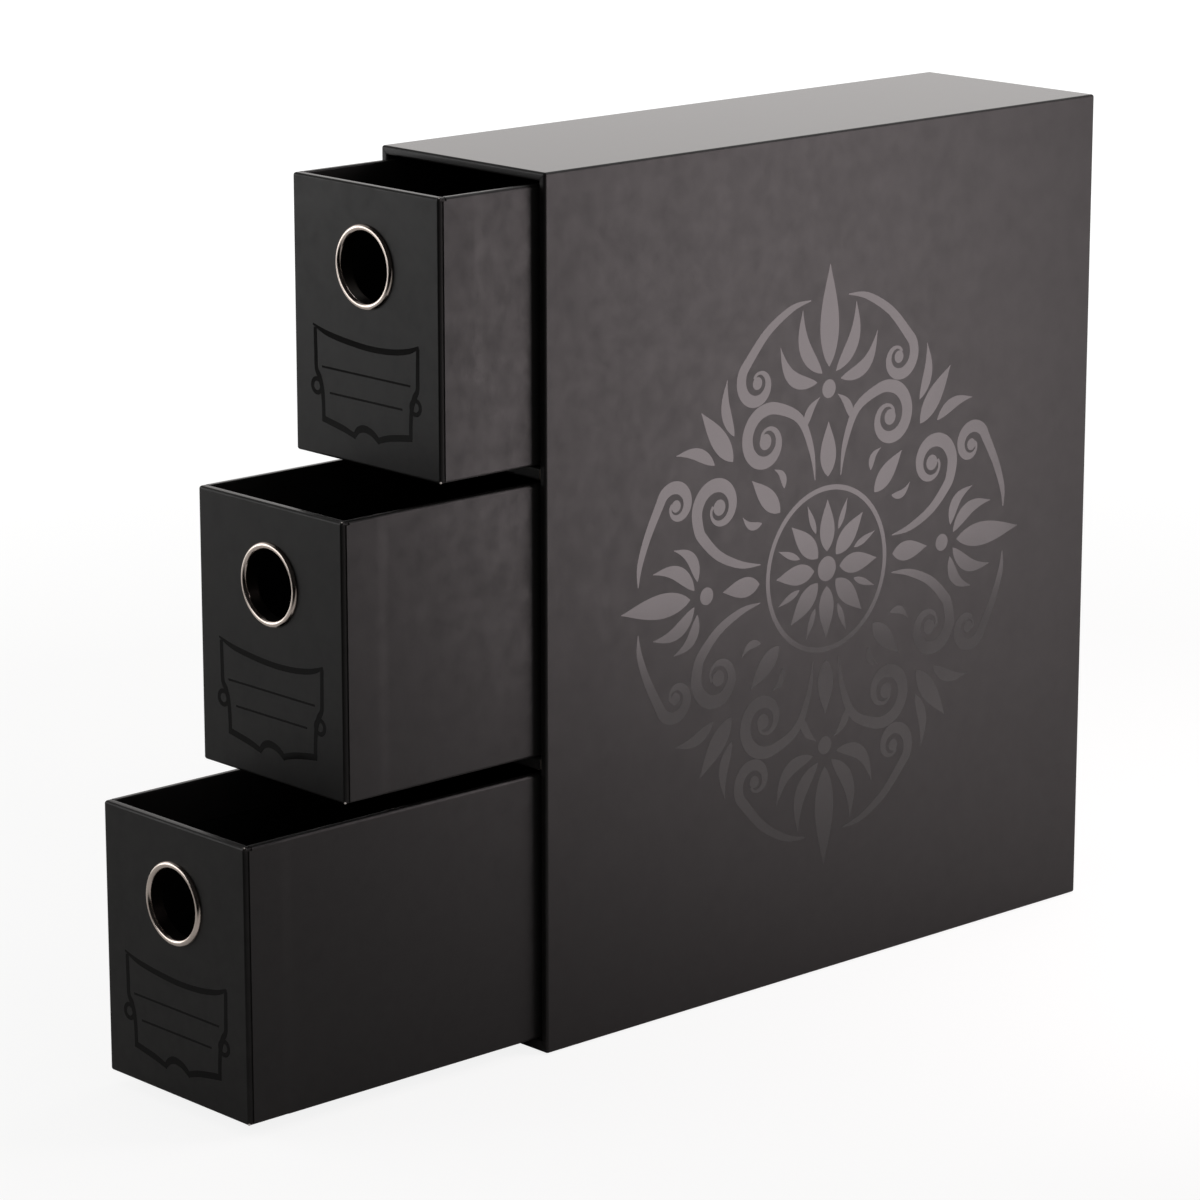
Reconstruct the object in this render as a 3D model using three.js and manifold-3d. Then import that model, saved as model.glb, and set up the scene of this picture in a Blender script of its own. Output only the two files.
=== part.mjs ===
// Card drawer box: a wrapped greyboard case with two shelves and three pull-out card drawers.
//
// Millimetres, +Z up. The origin is the centre of the case's underside. The drawers face -Y and
// slide along Y. The case and the drawers are made as set-up boxes are: greyboard panels, glued edge
// to edge, inside covering sheets that turn over the rims and end in flaps, with a lining inside.

import * as THREE from 'three';
import { mergeVertices } from 'three/addons/utils/BufferGeometryUtils.js';
import { RoundedBoxGeometry } from 'three/addons/geometries/RoundedBoxGeometry.js';
import Module from 'manifold-3d';

const wasm = await Module();
wasm.setup();

// Case
const case_width = 84.4;
const case_depth = 275;
const case_height = 310;
const case_board = 2.5;
const shelf_board = 3.9;
const floor_board = 3.55;
const case_turn_in = 15;
const case_flap = 14;

// Covering sheets and glue
const sheet = 0.25;
const glue_line = 0.1;
const edge_round = 1;
const shelf_round = 0.9;
const mitre_slit = 0.12;
const sheet_inset = 2.5;

// Drawers
const side_gap = 0.75;
const under_gap = 0.2;
const over_gap = 1.07;
const back_gap = 0.8;
const tray_board = 1.8;
const front_board = 2.5;
const rim_turn_in = 15;
const front_flap = 14;
const tray_flap = 11;
const pull_step = 43;
const drawer_names = ['bottom', 'middle', 'top'];

// Finger-hole eyelet and its washer
const eyelet_below_rim = 27.7;
const eyelet_flange_radius = 14.6;
const eyelet_hole_radius = 12.2;
const eyelet_metal = 0.4;
const eyelet_proud = 1.3;
const eyelet_clearance = 0.2;
const washer_radius = 14.8;
const washer_thickness = 0.6;

// How round shapes are divided
const sheet_corner_steps = 2;
const board_corner_steps = 1;
const shelf_corner_steps = 3;
const turn_steps = 36;
const curl_steps = 3;
const roll_steps = 2;

// Cuts run past the faces they cut by this much
const overrun = 2;

// Sizes that follow
const lap = sheet + glue_line;
const board_round = edge_round - lap;
const drawer_count = drawer_names.length;
const wall = lap + case_board + lap;
const shelf = lap + shelf_board + lap;
const floor = lap + lap + floor_board + lap;
const shelves_height = shelf * (drawer_count - 1);
const bay_height = (case_height - floor - shelves_height - wall) / drawer_count;
const half_width = case_width / 2;
const half_mouth = half_width - wall;
const front_y = -case_depth / 2;
const back_y = case_depth / 2;
const inner_back_y = back_y - lap - wall;

const drawer_width = 2 * (half_mouth - side_gap);
const drawer_height = bay_height - under_gap - over_gap;
const drawer_length = case_depth - lap - wall - back_gap;
const half_drawer = drawer_width / 2;
const front_wall = lap + front_board + lap;
const side_wall = lap + lap + tray_board + lap;
const back_wall = lap + tray_board + lap;
const tray_floor = lap + lap + tray_board + lap;
const turn_in_z = drawer_height - rim_turn_in;
const tray_x = [side_wall - half_drawer, half_drawer - side_wall];
const past_x = [-half_drawer - overrun, half_drawer + overrun];
const past_z = [-overrun, drawer_height + overrun];
const under_z = [-overrun, lap + sheet + glue_line / 2];
const eyelet_height = drawer_height - eyelet_below_rim;
const barrel_radius = eyelet_hole_radius + eyelet_metal;
const board_hole_radius = barrel_radius + eyelet_clearance;

// Materials
function paper(color, roughness) {
  return new THREE.MeshStandardMaterial({ color, roughness, metalness: 0 });
}
const cover_black = paper(0x3a3839, 0.55);
const front_black = paper(0x343334, 0.5);
const lining_black = paper(0x0c0c0c, 0.85);
const greyboard = paper(0x8c8273, 0.95);
const plated_metal = new THREE.MeshStandardMaterial({ color: 0xc9b8ae, roughness: 0.18, metalness: 1 });

// Solids and meshes
function solid(geometry) {
  const bare = geometry.clone();
  bare.deleteAttribute('normal');
  bare.deleteAttribute('uv');
  const merged = mergeVertices(bare);
  return new wasm.Manifold(new wasm.Mesh({
    numProp: 3,
    vertProperties: new Float32Array(merged.attributes.position.array),
    triVerts: new Uint32Array(merged.index.array),
  }));
}

function addSolid(parent, name, body, material) {
  const data = body.getMesh();
  const geometry = new THREE.BufferGeometry();
  geometry.setAttribute('position', new THREE.BufferAttribute(data.vertProperties, data.numProp));
  geometry.setIndex(new THREE.BufferAttribute(data.triVerts, 1));
  geometry.computeVertexNormals();
  const part = new THREE.Mesh(geometry, material);
  part.name = name;
  parent.add(part);
}

// A space is a low corner and a high corner
function space(x, y, z) {
  return new THREE.Box3(new THREE.Vector3(x[0], y[0], z[0]), new THREE.Vector3(x[1], y[1], z[1]));
}

function inset(box, distance) {
  return box.clone().expandByScalar(-distance);
}

function placed(geometry, box) {
  const centre = box.getCenter(new THREE.Vector3());
  return solid(geometry.translate(centre.x, centre.y, centre.z));
}

function block(box) {
  const size = box.getSize(new THREE.Vector3());
  return placed(new THREE.BoxGeometry(size.x, size.y, size.z), box);
}

function roundedBlock(box, radius, steps) {
  const size = box.getSize(new THREE.Vector3());
  return placed(new RoundedBoxGeometry(size.x, size.y, size.z, steps, radius), box);
}

function board(x, y, z) {
  return roundedBlock(space(x, y, z), board_round, board_corner_steps);
}

// The skin that a covering sheet makes round a rounded block
function skin(box) {
  const outside = roundedBlock(box, edge_round, sheet_corner_steps);
  return outside.subtract(roundedBlock(inset(box, sheet), edge_round - sheet, sheet_corner_steps));
}

// A round hole through the drawer front, square to it
function fingerHole(radius) {
  const length = front_wall + 2 * overrun;
  const cutter = new THREE.CylinderGeometry(radius, radius, length, turn_steps);
  return solid(cutter.translate(0, front_wall / 2, eyelet_height));
}

// Mitred corners: a fine slit through the sheet on the front edge, from each mouth corner outwards
function mitreCut(side, level) {
  const mouth_z = level > 0 ? case_height - wall : floor;
  const edge_z = level > 0 ? case_height : lap;
  const run = new THREE.Vector2(side * wall, edge_z - mouth_z);
  const reach = run.length() - edge_round;
  const slit = new THREE.BoxGeometry(reach + overrun, 2 * overrun, mitre_slit);
  slit.translate((reach - overrun) / 2, 0, 0).rotateY(Math.atan2(-run.y, run.x));
  return solid(slit.translate(side * half_mouth, front_y + sheet + glue_line / 2 - overrun, mouth_z));
}

// Case covering sheet: walls, mouth turn-ins, and flaps under the floor and over the back
function caseWrap() {
  const outside = space([-half_width, half_width], [front_y, back_y - lap], [lap, case_height]);
  const turn_in_y = [front_y, front_y + case_turn_in];
  const mouth = space([-half_mouth, half_mouth], turn_in_y, [floor, case_height - wall]);
  const turn_in = mouth.clone().expandByVector(new THREE.Vector3(sheet, 0, sheet));
  mouth.min.y -= overrun;
  const under_cut = inset(outside, case_flap);
  under_cut.min.z = outside.min.z - overrun;
  under_cut.max.z = outside.min.z + sheet + glue_line / 2;
  const back_cut = inset(outside, case_flap);
  back_cut.min.y = outside.max.y - sheet - glue_line / 2;
  back_cut.max.y = outside.max.y + overrun;
  let wrap = skin(outside)
    .add(block(turn_in))
    .subtract(block(mouth))
    .subtract(block(under_cut))
    .subtract(block(back_cut));
  for (const side of [-1, 1]) {
    wrap = wrap.subtract(mitreCut(side, -1)).subtract(mitreCut(side, 1));
  }
  return wrap;
}

// Case lining: a sleeve of sheet inside the walls, from the turn-ins to the back
function caseLining() {
  const inside = space(
    [-half_mouth, half_mouth],
    [front_y + case_turn_in + glue_line, inner_back_y - glue_line],
    [floor, case_height - wall],
  );
  const outside = inside.clone().expandByVector(new THREE.Vector3(sheet, 0, sheet));
  return block(outside).subtract(block(inside.expandByVector(new THREE.Vector3(0, overrun, 0))));
}

// Shelf covering: one sheet over the top, round the front edge and back under
function shelfWrap(length) {
  const top = shelf / 2;
  const inner = top - sheet;
  const inner_round = shelf_round - sheet;
  const edge = new THREE.Shape();
  edge.moveTo(length, -top);
  edge.lineTo(length, -inner);
  edge.lineTo(shelf_round, -inner);
  edge.absarc(shelf_round, -inner + inner_round, inner_round, -Math.PI / 2, -Math.PI, true);
  edge.absarc(shelf_round, inner - inner_round, inner_round, Math.PI, Math.PI / 2, true);
  edge.lineTo(length, inner);
  edge.lineTo(length, top);
  edge.lineTo(shelf_round, top);
  edge.absarc(shelf_round, top - shelf_round, shelf_round, Math.PI / 2, Math.PI, false);
  edge.absarc(shelf_round, shelf_round - top, shelf_round, Math.PI, 3 * Math.PI / 2, false);
  const width = 2 * (half_mouth - glue_line);
  const options = { depth: width, bevelEnabled: false, curveSegments: shelf_corner_steps };
  const sleeve = new THREE.ExtrudeGeometry(edge, options).translate(0, 0, -width / 2);
  return solid(sleeve.rotateY(Math.PI / 2).rotateX(Math.PI / 2));
}

// Case: five boards under the covering sheet, with the pasted base, back and lining sheets
function buildCase(model) {
  const inside_x = half_width - lap - case_board;
  const wall_y = [front_y + lap, inner_back_y + sheet];
  const wall_z = [floor - lap + glue_line, case_height - lap - case_board - glue_line];
  const full_x = [-half_width + lap, half_width - lap];
  const box = new THREE.Group();
  addSolid(box, 'case_wrap', caseWrap(), cover_black);
  addSolid(box, 'case_left_board', board([-half_width + lap, -inside_x], wall_y, wall_z), greyboard);
  addSolid(box, 'case_right_board', board([inside_x, half_width - lap], wall_y, wall_z), greyboard);
  const top_z = [case_height - lap - case_board, case_height - lap];
  addSolid(box, 'case_top_board', board(full_x, wall_y, top_z), greyboard);
  const floor_z = [2 * lap, floor - lap];
  addSolid(box, 'case_floor_board', board(full_x, wall_y, floor_z), greyboard);
  const back_board_y = [inner_back_y + lap, inner_back_y + lap + case_board];
  addSolid(box, 'case_back_board', board(full_x, back_board_y, [2 * lap, case_height - lap]), greyboard);
  const base_x = [-half_width + sheet_inset, half_width - sheet_inset];
  const base = space(base_x, [front_y + sheet_inset, back_y - sheet_inset], [0, sheet]);
  addSolid(box, 'case_base_sheet', block(base), cover_black);
  const back_z = [lap + sheet_inset, case_height - sheet_inset];
  addSolid(box, 'case_back_sheet', block(space(base_x, [back_y - sheet, back_y], back_z)), cover_black);
  addSolid(box, 'case_lining', caseLining(), lining_black);
  const lining_x = [-half_mouth - sheet, half_mouth + sheet];
  const lining_z = [floor - sheet, case_height - wall + sheet];
  const back_lining = space(lining_x, [inner_back_y, inner_back_y + sheet], lining_z);
  addSolid(box, 'case_back_lining', block(back_lining), lining_black);
  buildShelves(box);
  model.add(box);
}

// Shelves: a board each, covered round its front edge
function buildShelves(box) {
  const length = inner_back_y - glue_line - front_y;
  for (const [level, name] of ['lower_shelf', 'upper_shelf'].entries()) {
    const middle_z = floor + (level + 1) * bay_height + level * shelf + shelf / 2;
    const place = new THREE.Group();
    place.position.set(0, front_y, middle_z);
    const half_shelf = half_mouth - glue_line;
    const core_z = [-shelf_board / 2, shelf_board / 2];
    const core = board([-half_shelf, half_shelf], [lap, length], core_z);
    addSolid(place, name + '_board', core, greyboard);
    addSolid(place, name + '_wrap', shelfWrap(length), cover_black);
    box.add(place);
  }
}

// Front covering sheet: over the front board and its rim, with flaps on the tray's sides and floor
function frontWrap() {
  const half = half_drawer - lap;
  const flap_end = front_wall + front_flap;
  const flap_top = drawer_height - edge_round - glue_line;
  const outside = space([-half, half], [0, flap_end + overrun], [lap, drawer_height]);
  const behind_flaps = space(past_x, [flap_end, flap_end + 2 * overrun], past_z);
  const above_flaps = space(past_x, [front_wall, flap_end + overrun], [flap_top, past_z[1]]);
  const turn_in = space(tray_x, [front_wall - sheet, front_wall], [turn_in_z, drawer_height - sheet / 2]);
  return skin(outside)
    .subtract(block(behind_flaps))
    .subtract(block(above_flaps))
    .add(block(turn_in))
    .subtract(fingerHole(board_hole_radius));
}

// Tray covering sheet: left side, back and right side, turned in over the rim and under the floor
function trayWrap() {
  const start = front_wall + glue_line;
  const before = start - 2 * overrun;
  const tray_back = drawer_length - back_wall;
  const outside = space([-half_drawer, half_drawer], [start - overrun, drawer_length], [lap, drawer_height]);
  const mouth = space(tray_x, [before, tray_back], [turn_in_z, past_z[1]]);
  const turn_in_x = [tray_x[0] - sheet, tray_x[1] + sheet];
  const turn_in_top = drawer_height - sheet / 2;
  const turn_in = space(turn_in_x, [start - overrun, tray_back + sheet], [turn_in_z, turn_in_top]);
  const flap_x = half_drawer - tray_flap;
  const between_flaps = space([-flap_x, flap_x], [before, drawer_length - tray_flap], under_z);
  const front_flap_end = front_wall + front_flap + glue_line;
  const front_flap_z = [past_z[0], lap + edge_round + glue_line];
  return skin(outside)
    .add(block(turn_in))
    .subtract(block(mouth))
    .subtract(block(between_flaps))
    .subtract(block(space(past_x, [before, start], past_z)))
    .subtract(block(space(past_x, [before, front_flap_end], front_flap_z)));
}

// Tray lining: a thin open box with the finger hole in its front
function trayLining() {
  const inside = space(tray_x, [front_wall, drawer_length - back_wall], [tray_floor, drawer_height]);
  const outside = inside.clone().expandByScalar(sheet);
  outside.max.z = turn_in_z - glue_line;
  return block(outside).subtract(block(inside)).subtract(fingerHole(board_hole_radius));
}

// Eyelet: a pressed flange, a barrel through the front, and the barrel's end rolled over the washer
function arc(points, radius, at, from, to, steps) {
  for (let step = 0; step <= steps; step += 1) {
    const angle = from + (to - from) * step / steps;
    points.push(new THREE.Vector2(at.x + radius * Math.cos(angle), at.y + radius * Math.sin(angle)));
  }
}

function eyelet() {
  const roll_back = front_wall + glue_line + washer_thickness + glue_line;
  const roll_round = (eyelet_flange_radius - eyelet_hole_radius) / 2;
  const crown = new THREE.Vector2(eyelet_hole_radius + roll_round, -eyelet_proud + roll_round);
  const roll = new THREE.Vector2(barrel_radius + eyelet_metal, roll_back);
  const profile = [];
  arc(profile, roll_round, crown, 0, -Math.PI, 2 * curl_steps);
  profile.push(new THREE.Vector2(eyelet_hole_radius, roll_back));
  arc(profile, 2 * eyelet_metal, roll, Math.PI, Math.PI / 2, roll_steps);
  profile.push(new THREE.Vector2(roll.x + eyelet_metal, roll_back + 2 * eyelet_metal));
  profile.push(new THREE.Vector2(roll.x + eyelet_metal, roll_back + eyelet_metal));
  arc(profile, eyelet_metal, roll, Math.PI / 2, Math.PI, roll_steps);
  profile.push(new THREE.Vector2(barrel_radius, crown.y));
  arc(profile, roll_round - eyelet_metal, crown, -Math.PI, 0, 2 * curl_steps);
  profile.push(profile[0].clone());
  return profile.reverse();
}

function washer() {
  const low = front_wall + glue_line;
  const high = low + washer_thickness;
  const inner = board_hole_radius;
  return [[inner, low], [washer_radius, low], [washer_radius, high], [inner, high], [inner, low]]
    .map(([radius, along]) => new THREE.Vector2(radius, along));
}

function revolved(profile) {
  const body = solid(new THREE.LatheGeometry(profile, turn_steps));
  return body.translate([0, 0, eyelet_height]);
}

// Drawer: five boards, two covering sheets, the base sheet, the lining and the eyelet
function buildDrawer(model, name, level) {
  const drawer = new THREE.Group();
  const drawn = pull_step * (drawer_count - level);
  const base_z = floor + level * (bay_height + shelf) + under_gap;
  drawer.position.set(0, front_y - drawn, base_z);
  const label = (piece) => name + '_' + piece;
  const outer_x = half_drawer - 2 * lap;
  const inner_x = outer_x - tray_board;
  const board_z = [2 * lap, drawer_height - lap];
  const back_y_range = [drawer_length - lap - tray_board, drawer_length - lap];
  const side_y = [front_wall - sheet, back_y_range[0] - glue_line];
  const front_core = board([-outer_x, outer_x], [lap, lap + front_board], board_z);
  addSolid(drawer, label('front_board'), front_core.subtract(fingerHole(board_hole_radius)), greyboard);
  addSolid(drawer, label('left_board'), board([-outer_x, -inner_x], side_y, board_z), greyboard);
  addSolid(drawer, label('right_board'), board([inner_x, outer_x], side_y, board_z), greyboard);
  addSolid(drawer, label('back_board'), board([-outer_x, outer_x], back_y_range, board_z), greyboard);
  const floor_x = inner_x - glue_line;
  const floor_z = [2 * lap, 2 * lap + tray_board];
  addSolid(drawer, label('floor_board'), board([-floor_x, floor_x], side_y, floor_z), greyboard);
  addSolid(drawer, label('front_wrap'), frontWrap(), front_black);
  addSolid(drawer, label('tray_wrap'), trayWrap(), cover_black);
  const base_x = half_drawer - sheet_inset;
  const base = space([-base_x, base_x], [sheet_inset, drawer_length - sheet_inset], [0, sheet]);
  addSolid(drawer, label('base_sheet'), block(base), cover_black);
  addSolid(drawer, label('lining'), trayLining(), lining_black);
  addSolid(drawer, label('eyelet'), revolved(eyelet()), plated_metal);
  addSolid(drawer, label('eyelet_washer'), revolved(washer()), plated_metal);
  model.add(drawer);
}

const model = new THREE.Group();
buildCase(model);
for (const [level, name] of drawer_names.entries()) {
  buildDrawer(model, name, level);
}

export default model;
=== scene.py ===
"""The looks of a tall card drawer box: a wrapped greyboard case with three pull-out drawers."""

from math import cos, pi, radians, sin

import bmesh
import bpy
from mathutils import Matrix, Vector


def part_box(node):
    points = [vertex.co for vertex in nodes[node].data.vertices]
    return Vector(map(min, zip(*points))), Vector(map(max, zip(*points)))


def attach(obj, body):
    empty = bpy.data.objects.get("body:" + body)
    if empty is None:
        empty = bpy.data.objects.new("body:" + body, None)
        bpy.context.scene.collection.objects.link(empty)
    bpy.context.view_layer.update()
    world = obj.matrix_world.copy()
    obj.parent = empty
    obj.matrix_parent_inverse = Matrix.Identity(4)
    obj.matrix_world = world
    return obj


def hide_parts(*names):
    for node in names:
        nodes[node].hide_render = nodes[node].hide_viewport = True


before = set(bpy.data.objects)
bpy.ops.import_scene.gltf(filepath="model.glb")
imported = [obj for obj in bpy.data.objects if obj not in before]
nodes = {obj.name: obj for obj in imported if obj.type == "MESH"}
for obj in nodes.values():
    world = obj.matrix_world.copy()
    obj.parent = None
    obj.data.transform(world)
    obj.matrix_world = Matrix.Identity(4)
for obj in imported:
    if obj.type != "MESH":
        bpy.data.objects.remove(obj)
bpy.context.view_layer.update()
mm = 0.001


# Camera
# The box is seen from its front right and a little above, through a long lens, so its upright
# edges stay nearly parallel and the drawers come forward to the left.

camera_lens = 141.75
camera_turn = radians(47.31)
camera_rise = radians(14.16)
camera_distance = 1.73812
camera_target = Vector((-0.03907, -0.0375, 0.13146))

towards_camera = Vector((
    sin(camera_turn) * cos(camera_rise),
    -cos(camera_turn) * cos(camera_rise),
    sin(camera_rise),
))
camera = bpy.data.objects.new("camera", bpy.data.cameras.new("camera"))
camera.data.lens = camera_lens
camera.location = camera_target + camera_distance * towards_camera
camera.rotation_euler = (-towards_camera).to_track_quat("-Z", "Y").to_euler()
bpy.context.scene.collection.objects.link(camera)
bpy.context.scene.camera = camera
bpy.context.scene.view_settings.view_transform = "Standard"


# Studio
# The box stands on a pale floor before a low backdrop, in a room that is dark behind the camera.
# A tall warm softbox stands close by its right side and a low plain one at its left. Two weaker
# ones hang above it, to the left and at the back.

room_light = 0.30
dark_side = 0.008
backdrop_edges = (-0.25, 0.45)
backdrop_top = (0.80, 0.09)
backdrop_tint = (1.0, 0.970, 0.955, 1)
backdrop_direction = Vector((-towards_camera.x, -towards_camera.y, 0)).normalized()
plain_white = (1, 1, 1, 1)
floor_colour = (0.78, 0.78, 0.77, 1)
floor_radius = 6.0
floor_segments = 96
floor_white = 1.15
floor_share = 0.75
floor_fade = (0.5, 1.6)
mirrored_white = (0.15, 0.50)
mirrored_dark = (-0.22, -0.42)
mirrored_dark_ahead = (-0.28, -0.55)

softboxes = {
    "right_softbox": {
        "centre": Vector((0.34, 0.255, 0.265)),
        "facing": Vector((-1, 0, 0)),
        "size": (0.37, 0.47),
        "brightness": 3.65,
        "tint": (1.0, 0.875, 0.90),
    },
    "left_softbox": {
        "centre": Vector((-0.84, -0.98, 0.42)),
        "facing": Vector((0.66, 0.70, -0.14)),
        "size": (1.15, 0.62),
        "brightness": 1.6,
    },
    "upper_softbox": {
        "centre": Vector((-0.95, -0.25, 1.00)),
        "facing": Vector((0.70, 0.15, -0.65)),
        "size": (1.0, 0.9),
        "brightness": 0.15,
    },
    "back_softbox": {
        "centre": Vector((0.0, 0.62, 1.02)),
        "facing": Vector((0.0, -0.62, -0.72)),
        "size": (0.8, 0.5),
        "brightness": 1.2,
    },
}


def add(tree, kind, inputs=(), **options):
    """Adds a shader node, sets its options, and fills or links its sockets by name."""
    made = tree.nodes.new(kind)
    for option, value in options.items():
        setattr(made, option, value)
    for socket, value in dict(inputs).items():
        if isinstance(value, bpy.types.NodeSocket):
            tree.links.new(value, made.inputs[socket])
        else:
            made.inputs[socket].default_value = value
    return made


def math_of(tree, operation, *values):
    """One sum of two or three values."""
    return add(tree, "ShaderNodeMath", dict(enumerate(values)), operation=operation).outputs[0]


def ramp(tree, value, ends):
    """A soft step from 0 at the first end to 1 at the second."""
    return add(tree, "ShaderNodeMapRange", {
        "Value": value, "From Min": ends[0], "From Max": ends[1],
    }, interpolation_type="SMOOTHSTEP").outputs["Result"]


def spread(tree, value, low, high):
    """Stretches a value from 0 to 1 so that it goes from low to high."""
    return add(tree, "ShaderNodeMapRange", {
        "Value": value, "To Min": low, "To Max": high,
    }).outputs["Result"]


def mirror_rays(tree, rays):
    """Picks out the rays that a shiny or clear surface sends on."""
    return math_of(tree, "MAXIMUM", rays["Is Glossy Ray"], rays["Is Transmission Ray"])


def towards_backdrop(tree, place):
    """How far a direction or a place lies towards the backdrop."""
    return add(tree, "ShaderNodeVectorMath", {0: place, 1: backdrop_direction},
               operation="DOT_PRODUCT").outputs["Value"]


def softbox(name, centre, facing, size, brightness, tint=plain_white[:3]):
    """A flat lamp whose own face has the given brightness, where 1 is white."""
    lamp = bpy.data.lights.new(name, "AREA")
    lamp.shape = "RECTANGLE"
    lamp.size, lamp.size_y = size
    lamp.energy = brightness * pi * size[0] * size[1]
    lamp.color = tint
    placed = bpy.data.objects.new(name, lamp)
    placed.location = centre
    placed.rotation_euler = facing.to_track_quat("-Z", "Y").to_euler()
    placed.visible_camera = False
    bpy.context.scene.collection.objects.link(placed)


def light_room():
    """The world: white to the camera, and bright only behind the box to what it reflects."""
    world = bpy.data.worlds.new("room")
    bpy.context.scene.world = world
    world.use_nodes = True
    tree = world.node_tree
    tree.nodes.clear()
    direction = add(tree, "ShaderNodeTexCoord").outputs["Generated"]
    behind = ramp(tree, towards_backdrop(tree, direction), backdrop_edges)
    height = add(tree, "ShaderNodeSeparateXYZ", {"Vector": direction}).outputs["Z"]
    backdrop = math_of(tree, "MULTIPLY", behind, ramp(tree, height, backdrop_top))
    reflected = spread(tree, backdrop, dark_side, 1.0)
    rays = add(tree, "ShaderNodeLightPath").outputs
    in_mirror = mirror_rays(tree, rays)
    unseen = add(tree, "ShaderNodeMix", {0: in_mirror, 2: room_light, 3: reflected}).outputs[0]
    strength = add(tree, "ShaderNodeMix", {0: rays["Is Camera Ray"], 2: unseen, 3: 1.0}).outputs[0]
    colour = add(tree, "ShaderNodeMix", {
        0: rays["Is Camera Ray"], 6: backdrop_tint, 7: plain_white,
    }, data_type="RGBA").outputs[2]
    background = add(tree, "ShaderNodeBackground", {"Color": colour, "Strength": strength})
    add(tree, "ShaderNodeOutputWorld", {"Surface": background.outputs[0]})


def floor_paint():
    """Matt paint that the camera sees as nearly white. Mirrored, it is white behind and dark ahead."""
    material = bpy.data.materials.new("pale_floor")
    material.use_nodes = True
    tree = material.node_tree
    tree.nodes.clear()
    paint = add(tree, "ShaderNodeBsdfDiffuse", {"Color": floor_colour}).outputs[0]
    white = add(tree, "ShaderNodeEmission", {"Strength": floor_white}).outputs[0]
    black = add(tree, "ShaderNodeEmission", {"Strength": 0.0}).outputs[0]
    rays = add(tree, "ShaderNodeLightPath").outputs
    in_mirror = mirror_rays(tree, rays)
    place = add(tree, "ShaderNodeTexCoord").outputs["Object"]
    distance = add(tree, "ShaderNodeVectorMath", {0: place}, operation="LENGTH").outputs["Value"]
    near_share = add(tree, "ShaderNodeMapRange", {
        "Value": distance, "From Min": floor_fade[0], "From Max": floor_fade[1],
        "To Min": floor_share, "To Max": 1.0,
    }).outputs["Result"]
    seen = math_of(tree, "MULTIPLY", rays["Is Camera Ray"], near_share)
    behind = towards_backdrop(tree, place)
    share = math_of(tree, "MULTIPLY_ADD", in_mirror, ramp(tree, behind, mirrored_white), seen)
    along = add(tree, "ShaderNodeSeparateXYZ", {"Vector": place}).outputs["Y"]
    ahead = math_of(tree, "MULTIPLY", ramp(tree, behind, mirrored_dark),
                    ramp(tree, along, mirrored_dark_ahead))
    dark = math_of(tree, "MULTIPLY", in_mirror, ahead)
    lit = add(tree, "ShaderNodeMixShader", {0: share, 1: paint, 2: white}).outputs[0]
    mixed = add(tree, "ShaderNodeMixShader", {0: dark, 1: lit, 2: black}).outputs[0]
    add(tree, "ShaderNodeOutputMaterial", {"Surface": mixed})
    return material


def lay_floor():
    """A round floor, wide enough to reach past the picture, that keeps the box's shadow."""
    shape = bmesh.new()
    bmesh.ops.create_circle(shape, cap_ends=True, radius=floor_radius, segments=floor_segments)
    mesh = bpy.data.meshes.new("floor")
    shape.to_mesh(mesh)
    shape.free()
    mesh.materials.append(floor_paint())
    floor = bpy.data.objects.new("floor", mesh)
    bpy.context.scene.collection.objects.link(floor)


light_room()
lay_floor()
for lamp_name, lamp_values in softboxes.items():
    softbox(lamp_name, **lamp_values)


# Case cover
# One sheet of black matt-laminated paper runs over the left, top and right boards. It is turned
# round the front edges into the mouth, where its corners are mitred, and under the floor.

case_paper = (0.0078, 0.0072, 0.0070, 1)
case_roughness = 0.44
case_mottle = 0.55
paper_specular = 0.36
paper_glancing = 0.12
paper_mottle = 0.9
paper_grain = 0.006 * mm
glance_blend = 0.5
glance_ends = (0.50, 0.85)
noise_middle = 0.5
broad_mottle = 48
broad_share = 0.6
close_mottle = 150
close_share = 1.4
close_roughness = 0.6
mottle_detail = 4
mottle_shine = -0.24
fibre_scale = 1500
fibre_detail = 2
case_round = 1.0 * mm
round_steps = 4
round_profile = 0.5
mouth_low = Vector((-39.0, 0, 4.6)) * mm
mouth_high = Vector((39.0, 0, 306.8)) * mm
mouth_round = 0.9 * mm
turn_in = 15 * mm
print_room = 0.035 * mm
board_room = 0.05 * mm
lining_room = 0.05 * mm
weld_distance = 0.005 * mm
overrun = 2 * mm
mitre_width = 0.16 * mm
mitre_depth = 0.22 * mm
mitre_inwards = 1 * mm
mitre_outwards = 6 * mm
smooth_angle = radians(32)


def solid(name, shape):
    """Turns a bmesh shape into an object."""
    mesh = bpy.data.meshes.new(name)
    shape.to_mesh(mesh)
    shape.free()
    placed = bpy.data.objects.new(name, mesh)
    bpy.context.scene.collection.objects.link(placed)
    return placed


def rounded_block(name, low, high, radius):
    """A block between two corners, with every edge rounded."""
    shape = bmesh.new()
    bmesh.ops.create_cube(shape, size=1)
    centre = (low + high) / 2
    size = high - low
    for vertex in shape.verts:
        vertex.co = centre + Vector(c * s for c, s in zip(vertex.co, size))
    bmesh.ops.bevel(shape, geom=shape.edges[:], offset=radius, segments=round_steps,
                    profile=round_profile, affect="EDGES")
    return solid(name, shape)


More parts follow.
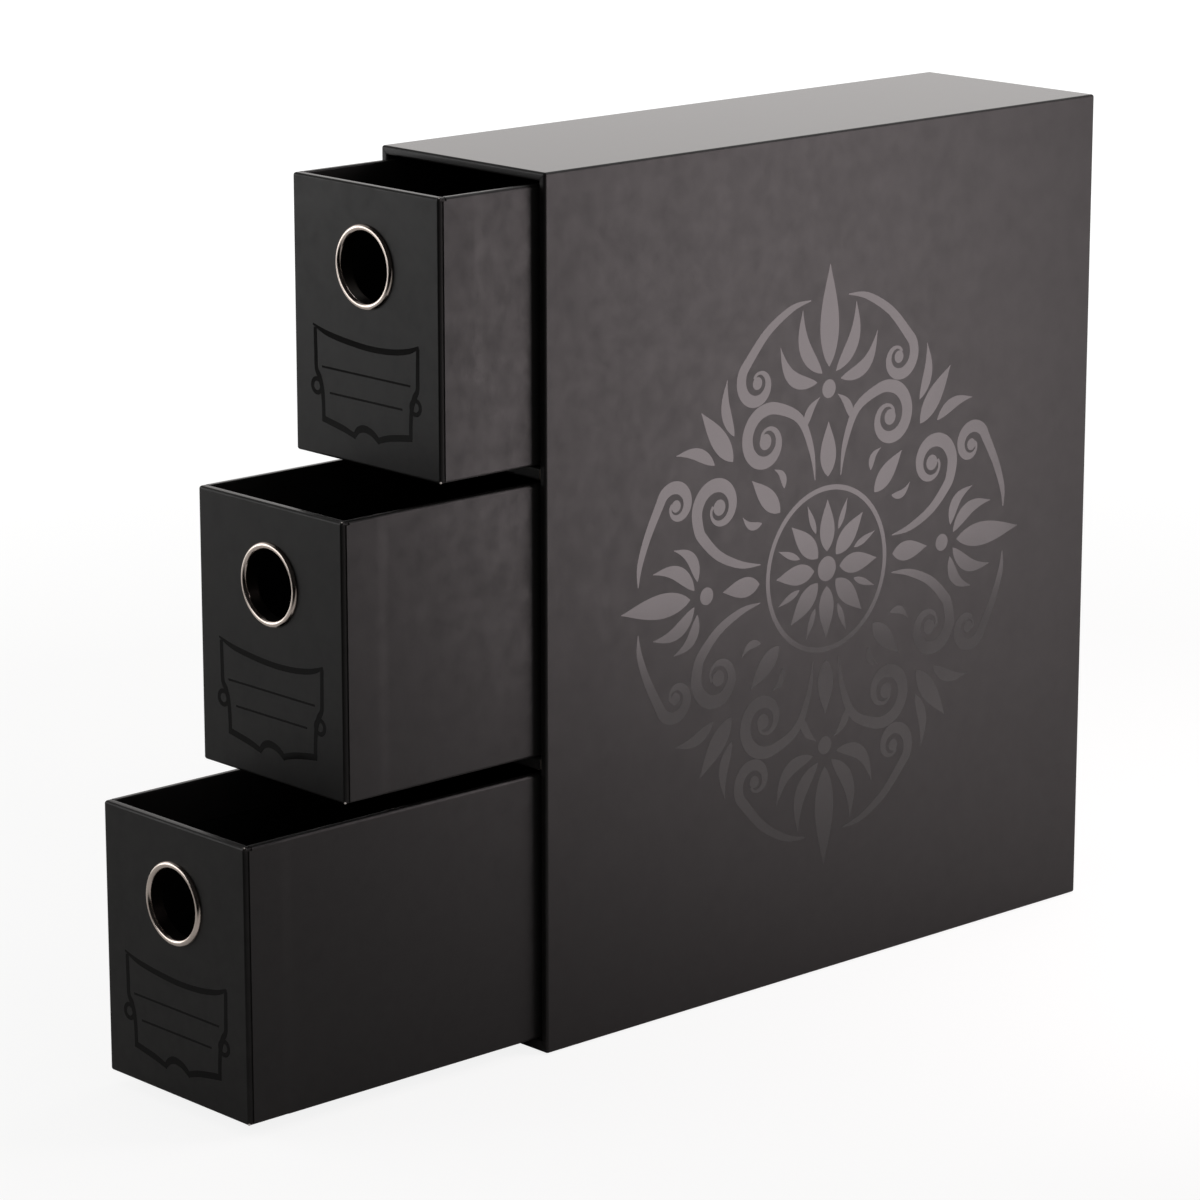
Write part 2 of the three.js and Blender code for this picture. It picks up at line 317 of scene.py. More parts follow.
def lofted(name, rings, closed=False):
    """A solid through a row of outlines that have the same number of points."""
    shape = bmesh.new()
    loops = [[shape.verts.new(point) for point in ring] for ring in rings]
    count = len(rings[0])
    pairs = list(zip(loops, loops[1:]))
    if closed:
        pairs.append((loops[-1], loops[0]))
    for near, far in pairs:
        for i in range(count):
            j = (i + 1) % count
            shape.faces.new((near[i], near[j], far[j], far[i]))
    if not closed:
        shape.faces.new(loops[0])
        shape.faces.new(loops[-1])
    bmesh.ops.recalc_face_normals(shape, faces=shape.faces)
    return solid(name, shape)


def room_for(node):
    """A board's own shape, a little larger, to cut its place out of the cover round it."""
    low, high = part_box(node)
    centre, size = (low + high) / 2, high - low
    shape = bmesh.new()
    shape.from_mesh(nodes[node].data)
    bmesh.ops.remove_doubles(shape, verts=shape.verts, dist=weld_distance)
    for vertex in shape.verts:
        away = vertex.co - centre
        vertex.co = centre + Vector(a * (1 + 2 * board_room / s) for a, s in zip(away, size))
    return solid("room_for_" + node, shape)


def cut(piece, *cutters):
    """Takes the cutters out of a piece and throws them away."""
    for cutter in cutters:
        difference = piece.modifiers.new("cut", "BOOLEAN")
        difference.operation = "DIFFERENCE"
        difference.solver = "EXACT"
        difference.object = cutter
    evaluated = piece.evaluated_get(bpy.context.evaluated_depsgraph_get())
    settled = bpy.data.meshes.new_from_object(evaluated)
    piece.modifiers.clear()
    piece.data = settled
    settled.name = piece.name
    for cutter in cutters:
        bpy.data.objects.remove(cutter)


def smooth(piece):
    """Shades roundings smoothly and keeps flats flat and folds sharp."""
    piece.data.shade_smooth()
    piece.data.set_sharp_from_angle(angle=smooth_angle)
    weighted = piece.modifiers.new("weighted_normals", "WEIGHTED_NORMAL")
    weighted.keep_sharp = True


def rounding(radius, steps=round_steps):
    """Points of a quarter round, as (how far in, how far spread) pairs, from its flat end."""
    angles = [pi / 2 * i / steps for i in range(steps + 1)]
    return [(radius * sin(a), radius * (1 - cos(a))) for a in angles]


def upright_ring(side, bottom, top, y):
    """An upright rectangle across the box, the same to left and right."""
    corners = ((-side, bottom), (side, bottom), (side, top), (-side, top))
    return [Vector((x, y, z)) for x, z in corners]


def mouth_cutter(front, lining_low, lining_high):
    """The case's mouth: a rounded edge, the turned-in sheet, then the room of the lining."""
    side, bottom, top = mouth_high.x, mouth_low.z, mouth_high.z
    start = front - overrun
    rings = [upright_ring(side + mouth_round, bottom - mouth_round, top + mouth_round, start)]
    for depth, out in rounding(mouth_round)[::-1]:
        rings.append(upright_ring(side + out, bottom - out, top + out, front + mouth_round - depth))
    step = front + turn_in + lining_room
    rings.append(upright_ring(side, bottom, top, step))
    for y in (step, lining_high.y):
        rings.append(upright_ring(lining_high.x, lining_low.z, lining_high.z, y))
    return lofted("mouth_cutter", rings)


def mitre_cutter(corner, outwards):
    """A thin slit through one front corner, where two turned-in edges of the sheet meet."""
    along = outwards.normalized()
    across = Vector((-along.z, 0, along.x)) * mitre_width / 2
    start = corner - along * mitre_inwards
    end = corner + along * mitre_outwards
    ends = [start - across, start + across, end + across, end - across]
    depths = (Vector((0, -overrun, 0)), Vector((0, mitre_depth, 0)))
    return lofted("mitre_cutter", [[point + depth for point in ends] for depth in depths])


def build_case_cover():
    """The case's sheet, hollowed for its boards and its lining."""
    low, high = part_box("case_wrap")
    lining_low, lining_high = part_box("case_lining")
    cover = rounded_block("case_cover", low, high - Vector((print_room, 0, 0)), case_round)
    room = Vector((lining_room, lining_room, lining_room))
    cutters = [mouth_cutter(low.y, lining_low - room, lining_high + room)]
    for board in ("left", "right", "top", "floor", "back"):
        cutters.append(room_for("case_" + board + "_board"))
    for sideways, x in ((-1, mouth_low.x), (1, mouth_high.x)):
        for upwards, z in ((-1, mouth_low.z), (1, mouth_high.z)):
            cutters.append(mitre_cutter(Vector((x, low.y, z)), Vector((sideways, 0, upwards))))
    cut(cover, *cutters)
    smooth(cover)
    return cover


def shader_group(name, inputs, outputs):
    """An empty shader node group with named sockets, and what its inputs give."""
    tree = bpy.data.node_groups.new(name, "ShaderNodeTree")
    for socket, kind in inputs.items():
        tree.interface.new_socket(socket, in_out="INPUT", socket_type=kind)
    for socket, kind in outputs.items():
        tree.interface.new_socket(socket, in_out="OUTPUT", socket_type=kind)
    return tree, tree.nodes.new("NodeGroupInput").outputs


def noise(tree, scale, detail, roughness=0.5):
    """A cloudy pattern from 0 to 1 that is fixed to the piece."""
    place = add(tree, "ShaderNodeTexCoord").outputs["Object"]
    return add(tree, "ShaderNodeTexNoise", {
        "Vector": place, "Scale": scale, "Detail": detail, "Roughness": roughness,
    }).outputs["Fac"]


def laminate_grain_group():
    """Mottling and fine grain of a matt film over paper."""
    tree, given = shader_group(
        "laminate_grain",
        {"Colour": "NodeSocketColor", "Roughness": "NodeSocketFloat", "Mottle": "NodeSocketFloat",
         "Grain Depth": "NodeSocketFloat"},
        {"Colour": "NodeSocketColor", "Roughness": "NodeSocketFloat", "Normal": "NodeSocketVector"},
    )
    broad = noise(tree, broad_mottle, mottle_detail)
    close = noise(tree, close_mottle, mottle_detail, close_roughness)
    balance = -noise_middle * (broad_share + close_share)
    patches = math_of(tree, "MULTIPLY_ADD", broad, broad_share, balance)
    patch = math_of(tree, "MULTIPLY_ADD", close, close_share, patches)
    change = math_of(tree, "MULTIPLY", patch, given["Mottle"])
    share = math_of(tree, "ADD", change, 1.0)
    tinted = add(tree, "ShaderNodeVectorMath", {0: given["Colour"], "Scale": share},
                 operation="SCALE").outputs[0]
    rough = math_of(tree, "MULTIPLY_ADD", change, mottle_shine, given["Roughness"])
    bump = add(tree, "ShaderNodeBump", {
        "Height": noise(tree, fibre_scale, fibre_detail),
        "Distance": given["Grain Depth"], "Strength": 1.0,
    }).outputs[0]
    add(tree, "NodeGroupOutput", {"Colour": tinted, "Roughness": rough, "Normal": bump})
    return tree


laminate_grain = laminate_grain_group()


def new_material(name, **values):
    """A material with one Principled BSDF, whose plain values are set on its own sockets."""
    material = bpy.data.materials.new(name)
    material.use_nodes = True
    tree = material.node_tree
    tree.nodes.clear()
    surface = add(tree, "ShaderNodeBsdfPrincipled", values)
    add(tree, "ShaderNodeOutputMaterial", {"Surface": surface.outputs[0]})
    return material, tree, surface


def covering_paper(name, colour, roughness, glancing=paper_glancing, mottle=paper_mottle,
                   grain_depth=paper_grain, specular=paper_specular):
    """Covering paper, whose roughness goes over to another one at a glancing angle."""
    material, tree, surface = new_material(name, **{"Specular IOR Level": specular})
    grain = add(tree, "ShaderNodeGroup", {
        "Colour": colour, "Roughness": roughness, "Mottle": mottle, "Grain Depth": grain_depth,
    }, node_tree=laminate_grain).outputs
    facing = add(tree, "ShaderNodeLayerWeight", {"Blend": glance_blend}).outputs["Facing"]
    glance = ramp(tree, facing, glance_ends)
    rough = add(tree, "ShaderNodeMix", {0: glance, 2: grain["Roughness"], 3: glancing}).outputs[0]
    tree.links.new(grain["Colour"], surface.inputs["Base Color"])
    tree.links.new(rough, surface.inputs["Roughness"])
    tree.links.new(grain["Normal"], surface.inputs["Normal"])
    return material


def dress(piece, material):
    """Gives a piece, new or carried over, one material all over."""
    piece.data.materials.clear()
    piece.data.materials.append(material)


case_cover_paper = covering_paper("case_cover_paper", case_paper, case_roughness, mottle=case_mottle)
case_cover = build_case_cover()
dress(case_cover, case_cover_paper)
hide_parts("case_wrap")
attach(case_cover, "case")


# Base and back sheets, and shelf covers
# Plain sheets of the same paper are pasted over the flaps under the case and on its back. Each
# shelf board has its own sheet, turned round its front edge.

for sheet in ("case_base_sheet", "case_back_sheet", "lower_shelf_wrap", "upper_shelf_wrap"):
    dress(nodes[sheet], case_cover_paper)


# Linings
# Uncoated black paper is pasted on the inside walls of the case and of each drawer. It is dead
# matt, with a faint felt grain.

lining_colour = (0.0030, 0.0029, 0.0029, 1)
lining_roughness = 0.92
lining_mottle = 0.6
felt_grain = 0.02 * mm
levels = ("bottom", "middle", "top")

lining_paper = covering_paper("lining_paper", lining_colour, lining_roughness, lining_roughness,
                              lining_mottle, felt_grain)
for lining in ("case_lining", "case_back_lining", *(level + "_lining" for level in levels)):
    dress(nodes[lining], lining_paper)


# Drawer front covers
# A sheet of the same laminated paper goes over each front board, in over the rim, round both
# upright edges on to the sides as flaps, and under. The finger hole is punched through it.

front_paper = (0.0070, 0.0066, 0.0064, 1)
front_roughness = 0.42
front_specular = 0.25
front_glancing = 0.22
front_round = 0.95 * mm
front_stretch = 0.9
stretch_reach = 1.01 * front_round
sheet_thickness = 0.25 * mm
front_wall = 3.2 * mm
rim_round = 0.55 * mm
flap_drop = 1.2 * mm
hole_radius = 12.8 * mm
hole_steps = 96
tuck = Vector((0.75, 0.95, 0.90)) * mm
tuck_rise = 0.3 * mm
tuck_subdivisions = 3
# The light specks at the front's right corners are painted highlights
painted_glint_colour = (0.62, 0.59, 0.56, 1)
glint_roughness = 0.8
glint_mottle = 0.4
glint_grain = 0.02 * mm

# Specks, as a radius and a place in from the corner, counted in radii
low_speck = (0.40 * mm, Vector((-1.15, 1.15, 1.15)))
high_speck = (0.32 * mm, Vector((-1.5, 1.9, -0.3)))
speck_subdivisions = 2


def box_between(name, low, high):
    """A plain block, to cut with."""
    corners = [(low.x, low.y), (high.x, low.y), (high.x, high.y), (low.x, high.y)]
    return lofted(name, [[Vector((x, y, z)) for x, y in corners] for z in (low.z, high.z)])


def level_ring(side, front, back, z):
    """A level rectangle, the same to left and right."""
    corners = ((-side, front), (side, front), (side, back), (-side, back))
    return [Vector((x, y, z)) for x, y in corners]


def stretch_front_edges(cover, low, high):
    """The upright edges are rounded further back than across, as paper over a soft board."""
    for vertex in cover.data.vertices:
        into = (abs(vertex.co.x) - (high.x - front_round)) / front_round
        if into > 0 and vertex.co.y < low.y + stretch_reach:
            vertex.co.y = low.y + (vertex.co.y - low.y) * (1 + front_stretch * into)


def behind_front_cutter(low, high):
    """What lies behind the front wall, with the rim's inner edge rounded."""
    side = high.x - sheet_thickness
    wall, back = low.y + front_wall, high.y + overrun
    rings = [level_ring(side, wall, back, low.z + sheet_thickness)]
    for rise, out in rounding(rim_round):
        rings.append(level_ring(side, wall - out, back, high.z - rim_round + rise))
    rings.append(level_ring(side, wall - rim_round, back, high.z + overrun))
    return lofted("behind_front_cutter", rings)


def hole_cutter(low, height):
    """The punched finger hole."""
    turns = [2 * pi * i / hole_steps for i in range(hole_steps)]
    return lofted("hole_cutter", [
        [Vector((hole_radius * cos(a), y, height + hole_radius * sin(a))) for a in turns]
        for y in (low.y - overrun, low.y + front_wall + overrun)
    ])


def add_tuck(cover, low, high):
    """The folded sheet bunches up a little at the right end of the rim."""
    shape = bmesh.new()
    shape.from_mesh(cover.data)
    centre = Vector((high.x - tuck.x, low.y + tuck.y, high.z + tuck_rise - tuck.z))
    place = Matrix.Translation(centre) @ Matrix.Diagonal((*tuck, 1))
    bmesh.ops.create_icosphere(shape, subdivisions=tuck_subdivisions, radius=1, matrix=place)
    shape.to_mesh(cover.data)
    shape.free()


def build_front_cover(level):
    """A front's sheet, hollowed for its board, with its side flaps cut off below the rim."""
    low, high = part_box(level + "_front_wrap")
    eyelet_low, eyelet_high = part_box(level + "_eyelet")
    cover = rounded_block(level + "_front_cover", low, high, front_round)
    stretch_front_edges(cover, low, high)
    flap_low = Vector((-high.x - overrun, low.y + front_wall + board_room, high.z - flap_drop))
    flap_high = Vector((high.x + overrun, high.y + overrun, high.z + overrun))
    cut(
        cover,
        behind_front_cutter(low, high),
        box_between("flap_cutter", flap_low, flap_high),
        room_for(level + "_front_board"),
        hole_cutter(low, (eyelet_low.z + eyelet_high.z) / 2),
    )
    add_tuck(cover, low, high)
    smooth(cover)
    return cover


def build_glint_specks(level):
    """Light specks at the front's right corners, painted highlights where the corners catch the light.
    """
    low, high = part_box(level + "_front_wrap")
    shape = bmesh.new()
    for height, radius, inwards in ((low.z, *low_speck), (high.z, *high_speck)):
        place = Matrix.Translation(Vector((high.x, low.y, height)) + inwards * radius)
        bmesh.ops.create_icosphere(shape, subdivisions=speck_subdivisions, radius=radius, matrix=place)
    return solid(level + "_glint_specks", shape)


front_cover_paper = covering_paper("front_cover_paper", front_paper, front_roughness, front_glancing,
                                   specular=front_specular)
painted_glint_paper = covering_paper("painted_glint_paper", painted_glint_colour, glint_roughness, glint_roughness,
                            glint_mottle, glint_grain)
for level in levels:
    cover = build_front_cover(level)
    dress(cover, front_cover_paper)
    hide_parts(level + "_front_wrap")
    # Painted highlights at the front's right corners
    specks = build_glint_specks(level)
    dress(specks, painted_glint_paper)
    for piece in (cover, specks):
        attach(piece, level + "_drawer")


# Drawer tray covers
# A second sheet runs round the left side, the back and the right side of each drawer, over the
# front sheet's flaps. It is turned in over the rim, and under the floor.

tray_round = 1.1 * mm
tray_start = 3.3 * mm
tray_edge = 2.0 * mm
tray_lead = 3 * mm
tray_side = 35.4 * mm
tray_back_wall = 2.5 * mm
tray_turn_in = 15 * mm
rim_end_gap = 0.01 * mm
lining_play = 0.07 * mm
below_lining = 0.2 * mm

# The front sheet's flaps end behind the front and lie between two depths inside the tray's sides
flap_end = 17.2 * mm
flap_outside = 0.3 * mm
flap_inside = 0.7 * mm
flap_play = 0.1 * mm
flap_step = 0.14 * mm
flap_step_run = 6.0 * mm
flap_step_shares = (-0.5, -0.25, 0, 0.25, 0.5)
side_skin = 0.4 * mm
slice_distance = 0.001 * mm


def tray_cavity(level, low, high):
    """The inside of a tray: its lining's room, then the turned-in sheet, and a rounded rim."""
    floor_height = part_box(level + "_lining")[0].z - below_lining
    turn_in_end = high.z - tray_turn_in - lining_room
    front, back = low.y - overrun, high.y - tray_back_wall
    room = sheet_thickness + lining_play
    rings = [
        level_ring(tray_side + room, front, back + room, floor_height),
        level_ring(tray_side + room, front, back + room, turn_in_end),
        level_ring(tray_side, front, back, turn_in_end),
    ]
    for rise, out in rounding(rim_round):
        rings.append(level_ring(tray_side + out, front, back + out, high.z - rim_round + rise))
    rings.append(level_ring(tray_side + rim_round, front, back + rim_round, high.z + overrun))
    return lofted("tray_cavity", rings)


def tray_end_cutters(low, high, front, front_side):
    """What is cut off the tray's sheet at its front end: its edge, and the front's own place."""
    left, right, top = low.x - overrun, high.x + overrun, high.z + overrun
    start = front + tray_start
    under_rim = high.z - tray_round - board_room
    return [
        box_between("edge_cutter", Vector((left, front - 2 * tray_lead, low.z - overrun)),
                    Vector((right, front + tray_edge, top))),
        box_between("front_cutter", Vector((-front_side, front - overrun, low.z - overrun)),
                    Vector((front_side, start, top))),
        box_between("rim_end_cutter", Vector((left, front - overrun, under_rim)),
                    Vector((right, start - rim_end_gap, top + overrun))),
    ]


def flap_cutters(low, high, front):
    """The places of the front sheet's flaps, under the tray and inside both sides."""
    start, end = front + tray_start - overrun, front + flap_end
    flap_top = high.z - flap_drop + board_room
    side, inner_side = high.x - flap_outside, high.x - flap_inside
    return [
        box_between("under_flap_cutter", Vector((-side, start, low.z - overrun)),
                    Vector((side, end + flap_play, low.z + flap_outside))),
        box_between("left_flap_cutter", Vector((-side, start, low.z + flap_play)),
                    Vector((-inner_side, end + board_room, flap_top))),
        box_between("right_flap_cutter", Vector((inner_side, start, low.z + flap_play)),
                    Vector((side, end + board_room, flap_top))),
    ]


def show_flap_edge(cover, high, front):
    """The end of the front sheet's flap shows as a soft step through the side's sheet."""
    shape = bmesh.new()
    shape.from_mesh(cover.data)
    middle = front + flap_end
    for share in flap_step_shares:
        bmesh.ops.bisect_plane(
            shape, geom=shape.verts[:] + shape.edges[:] + shape.faces[:], dist=slice_distance,
            plane_co=(0, middle + share * flap_step_run, 0), plane_no=(0, 1, 0),
        )
    for vertex in shape.verts:
        if abs(vertex.co.x) > high.x - side_skin:
            along = (vertex.co.y - middle) / flap_step_run + 0.5
            along = min(max(along, 0), 1)
            fall = flap_step * along * along * (3 - 2 * along)
            vertex.co.x -= fall if vertex.co.x > 0 else -fall
    shape.to_mesh(cover.data)
    shape.free()


def build_tray_cover(level):
    """A tray's sheet, hollowed for its boards, its lining and the front sheet's flaps."""
    low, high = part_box(level + "_tray_wrap")
    front_low, front_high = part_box(level + "_front_wrap")
    front = front_low.y
    start = Vector((low.x, front - tray_lead, low.z))
    cover = rounded_block(level + "_tray_cover", start, high, tray_round)
    cut(
        cover,
        *tray_end_cutters(low, high, front, front_high.x + board_room),
        tray_cavity(level, low, high),
        *flap_cutters(low, high, front),
        *(room_for(level + "_" + board + "_board") for board in ("left", "right", "back", "floor")),
    )
    show_flap_edge(cover, high, front)
    smooth(cover)
    return cover


tray_cover_paper = covering_paper("tray_cover_paper", front_paper, front_roughness, front_glancing)
for level in levels:
    cover = build_tray_cover(level)
    dress(cover, tray_cover_paper)
    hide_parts(level + "_tray_wrap")
    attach(cover, level + "_drawer")
    dress(nodes[level + "_base_sheet"], tray_cover_paper)


# Eyelets and washers
# A pressed ring of warm nickel-plated metal lines each finger hole. Its barrel goes through the
# front, where its dark colour is painted shade, and is rolled over a flat washer behind it.

metal = 0.4 * mm
metal_colour = (0.72, 0.63, 0.57, 1)
metal_roughness = 0.16
# Painted shade: the barrel and roll behind the front get this dark colour in place of the hole's
# shadow
barrel_painted_shade = (0.030, 0.026, 0.023, 1)
barrel_roughness = 0.45
ripple_scale = 400
ripple_detail = 2
ripple_changes = (-0.03, 0.05)
flange_radius = 14.6 * mm
barrel_inside = 12.2 * mm
proud = 1.3 * mm
crown_steps = 16
roll_steps = 8
washer_radius = 14.8 * mm
washer_thickness = 0.6 * mm
washer_gap = 0.1 * mm
washer_play = 0.2 * mm
washer_edge = 0.1 * mm
turn_steps = 128


def revolved(name, profile, centre):
    """Turns a closed profile of (radius, depth) points about the hole's axis."""
    rings = []
    for i in range(turn_steps):
        a = 2 * pi * i / turn_steps
        rings.append([centre + Vector((r * cos(a), y, r * sin(a))) for r, y in profile])
    return lofted(name, rings, closed=True)


def arc(centre, radius, start, end, steps):
    """Points of an arc, as (radius, depth) pairs."""
    angles = [start + (end - start) * i / steps for i in range(steps + 1)]
    return [(centre[0] + radius * cos(a), centre[1] + radius * sin(a)) for a in angles]


def eyelet_profile():
    """The flange's crown, the barrel and the roll behind, with the metal's thickness."""
    roll_back = front_wall + washer_gap + washer_thickness + washer_gap
    half = (flange_radius - barrel_inside) / 2
    crown = (barrel_inside + half, -proud + half)
    roll = (barrel_inside + 2 * metal, roll_back)
    points = arc(crown, half, 0, -pi, crown_steps)
    points += [(barrel_inside, roll_back)]
    points += arc(roll, 2 * metal, pi, pi / 2, roll_steps)[1:]
    points += [(roll[0] + metal, roll_back + 2 * metal), (roll[0] + metal, roll_back + metal)]
    points += arc(roll, metal, pi / 2, pi, roll_steps)
    points += arc(crown, half - metal, -pi, 0, crown_steps)
    return points


def washer_profile():
    """A flat ring with its outer edges taken off."""
    near = front_wall + washer_gap
    far = near + washer_thickness
    inner = barrel_inside + metal + washer_play
    return [
        (inner, near), (washer_radius - washer_edge, near), (washer_radius, near + washer_edge),
        (washer_radius, far - washer_edge), (washer_radius - washer_edge, far), (inner, far),
    ]


def uneven_sheen_group():
    """The slow changes of sheen that pressing or printing leaves on a shiny surface."""
    given_names = ("Scale", "Detail", "Smoothest", "Roughest")
    tree, given = shader_group(
        "uneven_sheen",
        dict.fromkeys(given_names, "NodeSocketFloat"),
        {"Roughness": "NodeSocketFloat"},
    )
    cloud = noise(tree, given["Scale"], given["Detail"])
    rough = spread(tree, cloud, given["Smoothest"], given["Roughest"])
    add(tree, "NodeGroupOutput", {"Roughness": rough})
    return tree


uneven_sheen = uneven_sheen_group()


def vary_sheen(tree, surface, scale, detail, smoothest, roughest):
    """Gives a material's surface a sheen that changes between two roughnesses."""
    sheen = add(tree, "ShaderNodeGroup", {
        "Scale": scale, "Detail": detail, "Smoothest": smoothest, "Roughest": roughest,
    }, node_tree=uneven_sheen)
    tree.links.new(sheen.outputs["Roughness"], surface.inputs["Roughness"])


def plated_metal(name, colour, roughness):
    """Nickel plate, with the faint ripple of pressing."""
    material, tree, surface = new_material(
        name, **{"Metallic": 1.0, "Roughness": roughness, "Base Color": colour},
    )
    smoothest, roughest = (roughness + change for change in ripple_changes)
    vary_sheen(tree, surface, ripple_scale, ripple_detail, smoothest, roughest)
    return material


def paint_shade_inside(ring, front, material):
    """Paints shade on the ring inside the hole and behind the front, as a second, dark metal."""
    ring.data.materials.append(material)
    for face in ring.data.polygons:
        if face.center.y > front:
            face.material_index = 1


nickel = plated_metal("nickel_plate", metal_colour, metal_roughness)
painted_shade_nickel = plated_metal("painted_shade_nickel", barrel_painted_shade, barrel_roughness)
for level in levels:
    low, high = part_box(level + "_eyelet")
    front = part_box(level + "_front_wrap")[0].y
    centre = Vector(((low.x + high.x) / 2, front, (low.z + high.z) / 2))
    for part, profile in (("eyelet", eyelet_profile()), ("eyelet_washer", washer_profile())):
        ring = revolved(level + "_" + part + "_ring", profile, centre)
        smooth(ring)
        dress(ring, nickel)
        if part == "eyelet":
            # Painted shade inside the hole and behind the front
            paint_shade_inside(ring, front, painted_shade_nickel)
        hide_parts(level + "_" + part)
        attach(ring, level + "_drawer")


# Label frames
# A scroll-shaped label frame with two writing lines is printed in clear gloss varnish on each
# drawer front, below the finger hole. It shows as a darker, shinier line.

varnish_colour = (0.0040, 0.0038, 0.0038, 1)
label_roughness = 0.13
label_specular = 0.08
varnish_thickness = 0.02 * mm
varnish_scale = 60
varnish_detail = 3
varnish_change = 0.05
line_layer_share = 0.06
ring_layer_share = 0.9
label_drop = 0.35 * mm
curve_steps = 14

# The frame's lines and the writing lines, as points of (x, z, width) in mm above the label's foot
top_edge = [(-28.0, 45.6, 0.7), (-20.5, 43.3, 1.9), (-9.0, 41.8, 2.1), (2.5, 41.1, 2.1),
            (13.5, 41.6, 2.1), (22.0, 43.1, 1.9), (27.3, 45.2, 1.0)]
side_edge = [(-26.8, 44.6, 1.7), (-26.6, 36.0, 1.8), (-26.4, 30.5, 1.9), (-24.9, 27.8, 2.3),
             (-23.5, 24.0, 2.0), (-22.9, 18.5, 1.8), (-22.8, 13.2, 1.8)]
left_foot = [(-23.6, 13.5, 2.3), (-17.8, 12.5, 2.3), (-12.0, 11.4, 2.3), (-5.9, 9.7, 1.9)]
foot_arch = [(-6.5, 10.0, 1.8), (-4.6, 12.1, 2.4), (-1.5, 13.1, 2.6), (2.8, 12.2, 2.4),
             (6.7, 9.6, 1.9)]
right_foot = [(6.1, 10.2, 2.1), (11.0, 11.7, 2.3), (17.0, 12.8, 2.3), (23.5, 13.7, 2.3)]
upper_writing = [(-23.4, 31.4, 0.75), (22.8, 31.4, 0.75)]
lower_writing = [(-19.4, 22.8, 0.75), (18.6, 22.8, 0.75)]
ring_centres = [(-26.2, 24.4), (25.4, 24.5)]
ring_radius = 2.4
ring_width = 1.6


def through(points, steps=curve_steps):
    """A smooth curve through points, with the last number of each carried along."""
    if len(points) < 3:
        return [tuple(a + (b - a) * i / steps for a, b in zip(*points)) for i in range(steps + 1)]
    padded = [points[0], *points, points[-1]]
    curve = []
    for p0, p1, p2, p3 in zip(padded, padded[1:], padded[2:], padded[3:]):
        for i in range(steps):
            t = i / steps
            curve.append(tuple(
                0.5 * (2 * b + (c - a) * t + (2 * a - 5 * b + 4 * c - d) * t * t
                       + (3 * b - a - 3 * c + d) * t ** 3)
                for a, b, c, d in zip(p0, p1, p2, p3)
            ))
    curve.append(tuple(points[-1]))
    return curve


def band_rings(curve, place, thickness, closed=False):
    """Outlines across a flat band of varying width along a curve on a surface."""
    rings = []
    count = len(curve)
    for i, (u, v, width) in enumerate(curve):
        before = curve[(i - 1) % count] if closed or i > 0 else curve[i]
        after = curve[(i + 1) % count] if closed or i < count - 1 else curve[i]
        along = Vector((after[0] - before[0], after[1] - before[1])).normalized()
        side = Vector((-along.y, along.x)) * width / 2
        left, right = (u + side.x, v + side.y), (u - side.x, v - side.y)
        rings.append([
            place(*left, thickness), place(*right, thickness), place(*right, 0), place(*left, 0),
        ])
    return rings


def joined(name, bands):
    """Makes one object of several bands, given as outlines and whether they close."""
    shape = bmesh.new()
    for rings, closed in bands:
        band = lofted("band", rings, closed)
        shape.from_mesh(band.data)
        bpy.data.objects.remove(band)
    return solid(name, shape)


def mirrored_line(points):
    """The same line on the other side of the middle."""
    return [(-u, v, width) for u, v, width in points]


def ring_curve(centre, radius, width, steps=48):
    """A circle of points with one width."""
    angles = [2 * pi * i / steps for i in range(steps)]
    return [(centre[0] + radius * cos(a), centre[1] + radius * sin(a), width) for a in angles]


def build_label(level):
    """A front's label frame, with each line a little thicker than the last where they cross."""
    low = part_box(level + "_front_wrap")[0]
    foot = low.z - label_drop

    def place(u, v, out):
        return Vector((u * mm, low.y - out, foot + v * mm))

    frame_lines = [top_edge, side_edge, mirrored_line(side_edge), left_foot, foot_arch, right_foot]
    bands = []
    for i, line in enumerate([*frame_lines, upper_writing, lower_writing]):
        thickness = varnish_thickness * (1 + line_layer_share * i)
        bands.append((band_rings(through(line), place, thickness), False))
    for i, centre in enumerate(ring_centres):
        ring = ring_curve(centre, ring_radius, ring_width)
        thickness = varnish_thickness * (ring_layer_share - line_layer_share * i)
        bands.append((band_rings(ring, place, thickness, True), True))
    return joined(level + "_label_frame", bands)


def varnish_over_paper(name, specular, roughness):
    """Clear varnish over the black paper, with the slight unevenness of a printed film."""
    material, tree, surface = new_material(
        name, **{"Base Color": varnish_colour, "Specular IOR Level": specular},
    )
    vary_sheen(tree, surface, varnish_scale, varnish_detail,
               roughness - varnish_change, roughness + varnish_change)
    return material


label_varnish = varnish_over_paper("label_varnish", label_specular, label_roughness)
for level in levels:
    label = build_label(level)
    dress(label, label_varnish)
    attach(label, level + "_drawer")


# Side ornament
# A medallion of leaves and scrolls in the manner of old bookbinders' stamps is printed in the same
# gloss varnish on the case's right side. It is the same to left and right and above and below.

ornament_specular = 0.62
ornament_roughness = 0.20
stroke_layer_share = 0.005

# Places and widths are in mm: the medallion's centre on the side, and from there on about it
ornament_centre = (-1.5, 152.0)
leaf_tip = 0.25
leaf_lean = 0.75
bead_tip = 0.1
scroll_foot = 0.4
scroll_tip = 1.2
scroll_lean = 0.8
scroll_swell_share = 0.86
scroll_smoothing = 5
volute_close_share = 0.74
volute_steps = 12

